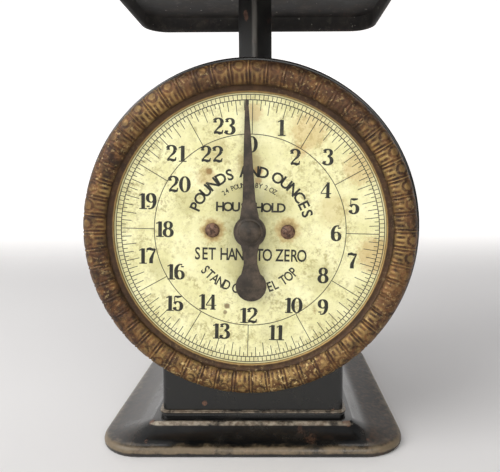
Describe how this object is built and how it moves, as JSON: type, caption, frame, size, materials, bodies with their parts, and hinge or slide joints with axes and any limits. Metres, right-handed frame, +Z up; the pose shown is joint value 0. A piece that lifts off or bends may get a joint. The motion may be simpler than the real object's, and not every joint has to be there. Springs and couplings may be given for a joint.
{
  "type": "mechanical dial platform scale",
  "caption": "Spring platform scale: a square tray on a post above a sheet-metal column with a round dial, a pointer and a flared base.",
  "frame": {"origin": "centre of the base's footprint, on the surface the scale stands on", "axes": "+Z up, +X to the reader's right, +Y to the back; the dial faces -Y"},
  "size_m": [0.172, 0.172, 0.258],
  "materials": {
    "black_enamel": "glossy black stove enamel on pressed steel, worn to brown metal at the rims and edges",
    "brass_bezel": "aged brown embossed brass, brighter gold on the high points",
    "dial_paint": "matt cream paint, stained",
    "dark_iron": "dull dark brown oxidised iron",
    "screw_steel": "plain steel, dulled",
    "sheet_steel": "plain pressed sheet steel",
    "spring_steel": "drawn spring wire",
    "brass_parts": "turned and cut brass"
  },
  "bodies": {
    "housing": {"base_shell": "black_enamel", "bed_plate": "black_enamel", "bed_rivets": "black_enamel", "column_front": "black_enamel", "back_cover": "black_enamel", "back_screws": "screw_steel", "column_screws": "screw_steel", "cap": "black_enamel", "dial_case": "black_enamel", "case_rivets": "screw_steel", "dial_pillars": "screw_steel", "dial_plate": "dial_paint", "dial_screws": "dark_iron", "bezel": "brass_bezel", "front_bush": "brass_parts", "left_upright": "sheet_steel", "right_upright": "sheet_steel", "upright_screws": "screw_steel", "arbor_plate": "sheet_steel", "arbor_plate_screws": "screw_steel", "rear_bush": "brass_parts", "bridge": "sheet_steel", "pivot_pins": "sheet_steel"},
    "platform": {"tray": "black_enamel", "tray_spider": "black_enamel", "tray_rivets": "black_enamel", "post": "black_enamel", "post_rivets": "screw_steel", "carriage": "sheet_steel", "link_pins": "sheet_steel", "rack_arm": "sheet_steel", "rack": "brass_parts", "rack_screws": "screw_steel"},
    "pointer_spindle": {"pointer": "dark_iron", "pointer_bush": "brass_parts", "hub_cap": "dark_iron", "arbor": "sheet_steel", "pinion": "brass_parts", "arbor_collar": "brass_parts"},
    "upper_check_link": {"upper_link": "sheet_steel"},
    "lower_check_link": {"lower_link": "sheet_steel"},
    "spring_hanger": {"spring_bar": "sheet_steel", "left_spring": "spring_steel", "right_spring": "spring_steel"},
    "zero_adjuster": {"zero_screw": "brass_parts"}
  },
  "joints": [
    {"name": "platform_slide", "type": "slide", "parent": "housing", "child": "platform", "axis": [0, 0, -1], "range_m": [-0.0008, 0.0254], "stiffness_N_per_m": 4249, "springref_m": -0.00109, "deforming": ["left_spring", "right_spring"]},
    {"name": "pointer_spin", "type": "hinge", "parent": "housing", "child": "pointer_spindle", "pos_m": [0, -0.0695, 0.1095], "axis": [0, 1, 0], "range_deg": [-11.7, 364.2]},
    {"name": "upper_link_swing", "type": "hinge", "parent": "housing", "child": "upper_check_link", "pos_m": [0, 0.046, 0.1253], "axis": [1, 0, 0], "range_deg": [-1.6, 44.97]},
    {"name": "lower_link_swing", "type": "hinge", "parent": "housing", "child": "lower_check_link", "pos_m": [0, 0.046, 0.0513], "axis": [1, 0, 0], "range_deg": [-1.6, 44.97]},
    {"name": "zero_screw_turn", "type": "hinge", "parent": "housing", "child": "zero_adjuster", "pos_m": [0, 0.017, 0.182], "axis": [0, 0, -1], "range_deg": [-617.5, 617.5]},
    {"name": "spring_bar_lift", "type": "slide", "parent": "housing", "child": "spring_hanger", "axis": [0, 0, 1], "range_m": [-0.0012, 0.0012], "deforming": ["left_spring", "right_spring"]}
  ],
  "couplings": [
    {"joint": "pointer_spin", "follows": "platform_slide", "rad_per_m": 250},
    {"joint": "upper_link_swing", "follows": "platform_slide", "rad_per_m": 30.695},
    {"joint": "lower_link_swing", "follows": "platform_slide", "rad_per_m": 30.695},
    {"joint": "zero_screw_turn", "follows": "spring_bar_lift", "rad_per_m": 8976}
  ]
}
